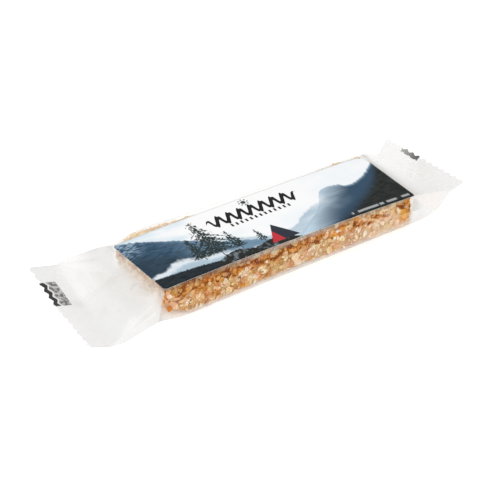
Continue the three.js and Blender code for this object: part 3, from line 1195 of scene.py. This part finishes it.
# A sensor's eye mark is printed at each cut, for the machine that cuts the packs apart: near
# black on the teeth, then a bare zigzag line and a worn grey block.
MARKS = (  # from which to which share of the width, how deep, and at which end
    (0.185, 0.455, 7.4, -1.0),
    (0.217, 0.437, 2.2, 1.0),
)
marks = 0.0
for low, high, deep, side in MARKS:
    place = within(facts["share_across"], low, high, 0.004) * facts["upper"]
    place = place * within(facts["from_line"], -2.0, deep, 0.15)
    marks = marks + place * smooth_step(side * along_pack, 0.0, 10 * MM)
marks = marks * (1.0 - 0.8 * within(facts["from_cut"], 2.1, 3.0, 0.12))
wear = smooth_step(noise(spot, 900.0, 5.0), 0.4, 0.62)
worn = mix_colours(wear, paint(104, 102, 100), paint(194, 193, 191))
fading = smooth_step(facts["share_across"], 0.45, 0.2)
faded = mix_colours(fading, paint(96, 95, 94), paint(176, 175, 174))
dark_ink = mix_colours(smooth_step(along_pack, 0.0, 10 * MM), paint(24, 21, 20), faded)
ink = mix_colours(smooth_step(facts["from_cut"], 2.2, 2.6), dark_ink, worn)
# Painted shade: the film's white is mixed toward grey by the shade worked out above.
white_film = mix_colours(facts["greyness"], paint(238, 238, 237), paint(204, 201, 195))
film_look = {
    "Base Color": mix_colours(marks, white_film, ink),
    "Alpha": largest(milkiness_and_reflection, marks),
    "Roughness": 0.25,
    "Normal": relief(noise(spot, 120.0), 0.1, 0.4 * MM),
}
fill(shader, film_look)

film = new_object("film", film_mesh, clear_film)
film.visible_shadow = False
film.visible_diffuse = False
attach(film, "root")
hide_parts("film_wrap")


# ---- Label ----
# A sticker of coated paper on top of the film, with small round corners and a printed landscape.
# It follows the bumps of the bar a little, and its cut edge shows the white of the paper.
label_low, label_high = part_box("label")
LABEL_THICKNESS = 0.1 * MM
LABEL_SINK = 0.1 * MM  # how far its top lies under the CAD label's
LABEL_CORNER = 1.3 * MM
LABEL_CUT_CORNER = 4.0 * MM  # the one at the back right
LABEL_STEP = 0.75 * MM
LABEL_BUMPS = 0.03 * MM
FRONT_RIGHT_SKEW = np.array((0.4, 0.0)) * MM  # how far each corner is cut out to the right and back
BACK_RIGHT_SKEW = np.array((-0.8, 0.0)) * MM
BACK_LEFT_SKEW = np.array((-1.2, 0.3)) * MM

size = label_high - label_low
middle = (label_low + label_high) / 2
columns, lines = round(size.x / LABEL_STEP), round(size.y / LABEL_STEP)
u, v = np.meshgrid(np.linspace(0, 1, columns + 1), np.linspace(0, 1, lines + 1), indexing="ij")
flat = np.stack([(u - 0.5) * size.x, (v - 0.5) * size.y], axis=-1)
label_corners = np.where((u > 0.5) & (v > 0.5), LABEL_CUT_CORNER, LABEL_CORNER)[..., None]
inner = np.array([size.x, size.y]) / 2 - label_corners
nearest = np.clip(flat, -inner, inner)
off = flat - nearest
far = np.linalg.norm(off, axis=-1, keepdims=True)
flat = nearest + off * np.minimum(1, label_corners / np.maximum(far, 1e-9))
flat += (u * (1 - v))[..., None] * FRONT_RIGHT_SKEW
flat += (u * v)[..., None] * BACK_RIGHT_SKEW
flat += ((1 - u) * v)[..., None] * BACK_LEFT_SKEW
x, y = np.moveaxis(flat, 2, 0)
bumps = np.sin(x * 310 + 1) * np.sin(y * 420) + 0.7 * np.sin(x * 790 + y * 530)
dome = DOME * (1 - ((x + middle.x) / DOME_HALF) ** 2)
top = np.dstack([x + middle.x, y + middle.y, label_high.z - LABEL_SINK + LABEL_BUMPS * bumps + dome])
bottom = top - np.array((0, 0, LABEL_THICKNESS))
vertices = np.vstack([top.reshape(-1, 3), bottom.reshape(-1, 3)])
index = np.arange(u.size).reshape(u.shape)
quads = np.stack([index[:-1, :-1], index[1:, :-1], index[1:, 1:], index[:-1, 1:]], axis=-1).reshape(-1, 4)
rim = np.concatenate([index[:-1, 0], index[-1, :-1], index[:0:-1, -1], index[0, :0:-1]])
after = np.roll(rim, -1)
sides = np.stack([rim, rim + index.size, after + index.size, after], axis=-1)
faces = np.vstack([quads, quads[:, ::-1] + index.size, sides])
label_mesh = bpy.data.meshes.new("label_sheet")
label_mesh.from_pydata(vertices.tolist(), [], faces.tolist())
label_mesh.polygons.foreach_set("use_smooth", [True] * len(faces))
label_mesh.polygons.foreach_set("material_index", [0] * len(quads) + [1] * (len(faces) - len(quads)))
print_map = label_mesh.uv_layers.new(name="print_map")
corner_vertex = np.empty(len(label_mesh.loops), np.int32)
label_mesh.loops.foreach_get("vertex_index", corner_vertex)
uv = np.stack([u.ravel(), v.ravel()], axis=-1)[corner_vertex % index.size]
print_map.data.foreach_set("uv", uv.astype(np.float32).ravel())

PRINT_LENGTH, PRINT_WIDTH = 111.6, 33.0  # the print is laid out in millimetres from its front left


def ridge(right, points, roughness, grain, seed):
    """Height of a hill's outline along the print: its two ends, then points between, and rough edges."""
    curve = right.tree.nodes.new("ShaderNodeFloatCurve")
    line = curve.mapping.curves[0].points
    for index, (x, y) in enumerate(points):
        place = (x / PRINT_LENGTH, y / PRINT_WIDTH)
        if index in (0, 1):
            line[index].location = place
        else:
            line.new(*place)
    curve.mapping.update()
    fill(curve, {"Value": right / PRINT_LENGTH})
    values = {"W": right + seed, "Scale": grain, "Detail": 4.0}
    rough = flow(right.tree, "ShaderNodeTexNoise", values, noise_dimensions="1D")
    return Flow(curve.outputs[0]) * PRINT_WIDTH + roughness * (rough - 0.5)


def below_line(line, up, soft):
    return smooth_step(line - up, -soft, soft)


def layered(under, colour, *masks):
    """Prints a colour over what is there, through one or more masks."""
    return mix_colours(math.prod(masks[1:], start=masks[0]), under, colour)


# A fir: boughs that narrow to the top, ragged and open, on a thin trunk.
fir, given, result = new_group(
    "fir",
    "ShaderNodeTree",
    dict.fromkeys(("Right", "Up", "Foot", "Ground", "Height", "Spread"), "Float"),
    {"Mask": "Float"},
)
WHORLS = 8.0
RAGGEDNESS = 1.5
climb = (given["Up"] - given["Ground"]) / given["Height"]
spot = joined(given["Right"], given["Up"], given["Foot"])
off_trunk = abs(given["Right"] - given["Foot"])
bough = 1.15 - 0.75 * calc("FRACT", 0.25 * off_trunk + WHORLS * climb)
ragged = RAGGEDNESS * (noise(spot, 1.1, 4.0) - 0.5)
reach = given["Spread"] * ((1.0 - climb) * bough + ragged)
needles = smooth_step(reach - off_trunk, -0.15, 0.25) * smooth_step(climb, 0.08, 0.14)
needles = needles * smooth_step(noise(spot, 1.3), 0.34, 0.44)
trunk = 1.0 - smooth_step(off_trunk, 0.1, 0.28)
fill(result, {"Mask": largest(needles, trunk) * within(climb, 0.0, 0.98, 0.01)})

printed, tree, shader = new_material("printed_paper")
place = parts(flow(tree, "ShaderNodeUVMap", uv_map="print_map"))
right, up = place[0] * PRINT_LENGTH, place[1] * PRINT_WIDTH
spot = joined(right, up, 0.0)
slanted = joined(0.35 * right, up, 3.0)
woods = smooth_step(noise(slanted, 1.2, 5.0), 0.35, 0.65)
clouds = smooth_step(noise(slanted, 0.12), 0.35, 0.65)

# Sky, and far slopes pale in the haze.
open_sky = mix_colours(smooth_step(right, 56.0, 30.0), paint(247, 251, 254), paint(218, 234, 244))
colour = mix_colours(clouds, open_sky, paint(255, 255, 255))
far_slope = ridge(
    right, ((0, 20), (112, 4), (30, 17), (44, 10), (56, 6), (70, 12), (80, 15), (92, 8)), 1.5, 0.5, 3.0
)
colour = layered(colour, paint(182, 203, 217), below_line(far_slope, up, 0.8), 1.0 - 0.4 * clouds)

# The wooded hill at the left, with a paler patch of snow high up.
left_hill = ridge(
    right, ((0, 33), (112, -8), (6, 31), (14, 26.6), (24, 20.5), (34, 13), (44, 8), (56, 2)), 1.6, 0.8, 11.0
)
under_ridge = left_hill - up
on_hill = below_line(left_hill, up, 0.35)
hill = mix_colours(0.7 * woods, paint(36, 66, 90), paint(66, 102, 130))
hill = mix_colours(0.6 * smooth_step(under_ridge, 5.0, 16.0), hill, paint(26, 38, 44))
hill = mix_colours(smooth_step(under_ridge, 2.0, 0.0), hill, paint(92, 120, 142))
hill = mix_colours(0.5 * smooth_step(right, 12.0, 34.0), hill, paint(146, 180, 204))
colour = layered(colour, hill, on_hill)
snow = smooth_step(calc("DISTANCE", spot, (2.0, 29.0, 0.0)), 9.0, 2.0)
patches = smooth_step(noise(slanted, 1.3, 5.0), 0.42, 0.6)
colour = layered(colour, paint(150, 174, 194), snow, patches, on_hill)

# The mountain at the right, blue where haze drifts past it and near black close by.
mountain_points = ((66, 5), (76, 12), (80, 17), (86, 22), (91, 21.5), (95, 19), (101, 20.5), (107, 24))
mountain_ridge = ridge(right, ((58, 0), (112, 28), *mountain_points), 1.2, 0.7, 23.0)
drift = smooth_step(right + 5.0 * clouds + 0.8 * (12.0 - up), 72.0, 94.0)
mountain = mix_colours(drift, paint(200, 220, 234), paint(44, 74, 98))
edge = 0.6 * smooth_step(mountain_ridge - up, 1.6, 0.0)
mountain = mix_colours(edge, mountain, paint(158, 186, 204))
colour = layered(colour, mountain, below_line(mountain_ridge, up, 0.5))
near_slope = ridge(
    right, ((78, 0), (112, 26), (84, 3), (92, 7.5), (99, 12), (105, 17), (109, 22)), 2.6, 1.1, 31.0
)
dark_woods = mix_colours(woods, paint(4, 7, 7), paint(34, 42, 39))
colour = layered(colour, dark_woods, below_line(near_slope, up, 3.2))

# A white field at the middle, a bank of mist along the foot of the hill, and dark woods there.
field = within(right, 32.0, 80.0, 4.0) * smooth_step(up, 12.0, 18.0)
colour = layered(colour, paint(255, 255, 255), field, 0.95)
mist_top = ridge(
    right, ((0, 7.6), (112, -6), (8, 9.8), (14, 11.4), (21, 9.6), (30, 7.8), (37, 4.5)), 2.0, 0.35, 41.0
)
wisps = mist_top + 5.0 * (noise(slanted, 0.55, 4.0) - 0.5)
mist = mix_colours(below_line(wisps - 2.6, up, 1.6), paint(228, 237, 243), paint(176, 198, 212))
colour = layered(colour, mist, below_line(wisps, up, 1.2))
dark_bank = ridge(right, ((0, 6.6), (112, -6), (10, 5.8), (20, 4.6), (30, 2.8), (40, 0)), 1.4, 1.2, 47.0)
bank_woods = mix_colours(woods, paint(12, 22, 28), paint(30, 44, 52))
colour = layered(colour, bank_woods, below_line(dark_bank, up, 0.3))

# Firs, rocks, and a small tent on them.
FIRS = (  # where each stands, its height and how far its boughs spread
    (23.0, 6.5, 15.0, 5.0),
    (30.0, 5.0, 25.0, 9.0),
    (38.0, 5.5, 13.0, 4.2),
    (47.5, 5.0, 8.5, 2.6),
)
for fir_sizes in FIRS:
    values = {"Right": right, "Up": up, **dict(zip(("Foot", "Ground", "Height", "Spread"), fir_sizes))}
    colour = layered(colour, paint(34, 48, 48), place_group(tree, fir, values)["Mask"])
rock_points = ((29, 4.6), (35, 5.8), (42, 3.4), (49, 4.8), (55, 4.0), (58, 1.8), (61, -4))
rocks = ridge(right, ((24, 0), (112, -10), *rock_points), 1.6, 0.9, 59.0)
stone = mix_colours(smooth_step(noise(spot, 0.38), 0.5, 0.66), paint(30, 32, 28), paint(112, 124, 132))
colour = layered(colour, stone, below_line(rocks, up, 0.2))

TENT_MIDDLE, TENT_FOOT, TENT_HEIGHT, TENT_HALF = 54.6, 2.0, 10.6, 6.0
from_middle = right - TENT_MIDDLE
tent_climb = (up - TENT_FOOT) / TENT_HEIGHT
tent = smooth_step(TENT_HALF * (1.0 - tent_climb) - abs(from_middle), -0.1, 0.1)
tent = tent * smooth_step(tent_climb, -0.01, 0.01)
dark_side = smooth_step(from_middle + 2.6 * tent_climb, -0.5, -0.3)
colour = layered(colour, mix_colours(dark_side, paint(196, 46, 56), paint(40, 45, 58)), tent)

# A plain ornament on the white field: a small sun, a bold wave, and dashes.
SUN_RIGHT, SUN_UP, RAYS = 55.0, 30.0, 8.0
radius = calc("DISTANCE", spot, (SUN_RIGHT, SUN_UP, 0.0))
ray = calc("COSINE", RAYS * calc("ARCTAN2", up - SUN_UP, right - SUN_RIGHT))
rays = within(radius, 1.35, 2.1, 0.08) * smooth_step(ray, 0.1, 0.5)
colour = layered(colour, paint(60, 64, 70), largest(smooth_step(radius, 1.05, 0.9), rays))

WAVE_PITCH, WAVE_HEIGHT, WAVE_UP = 4.8, 1.9, 24.4
black = paint(14, 14, 16)
turn = 2 * math.pi / WAVE_PITCH
swing = turn * (right - 0.25 * up)
slope = turn * WAVE_HEIGHT * calc("COSINE", swing)
from_wave = abs(up - WAVE_UP - WAVE_HEIGHT * calc("SINE", swing)) / calc("SQRT", slope * slope + 1.0)
stroke = (0.95 + 0.3 * calc("SINE", swing + 1.2)) * within(right, 36.5, 74.0, 2.0)
colour = layered(colour, black, smooth_step(stroke - from_wave, 0.0, 0.1))

DASH_PITCH = 2.1
dash = within(calc("FRACT", right / DASH_PITCH), 0.3, 0.72, 0.05)
dashes = within(up, 18.8, 20.6, 0.1) * within(right, 41.9, 69.3, 0.05)
colour = layered(colour, black, dash, dashes)

# A line of fine white dashes at the front right, where a date would go.
TICK_PITCH = 0.62
tick = within(calc("FRACT", right / TICK_PITCH), 0.2, 0.7, 0.1)
gaps = smooth_step(noise(joined(right, 0.0, 9.0), 0.5, 0.0), 0.36, 0.4)
date_line = within(up, 1.5, 2.8, 0.15) * within(right, 84.0, 110.3, 0.1)
colour = layered(colour, paint(226, 229, 230), tick, gaps, date_line)
fill(shader, {"Base Color": colour, "Roughness": 0.42, "Specular IOR Level": 0.18})

paper_edge, tree, shader = new_material("paper_edge")
fibres = noise(object_place(tree), 3000.0, 2.0)
white = mix_colours(fibres, paint(214, 214, 212), paint(234, 234, 232))
fill(shader, {"Base Color": white, "Roughness": 0.7})

label_sheet = new_object("label_sheet", label_mesh, printed, paper_edge)
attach(label_sheet, "root")
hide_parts("label")
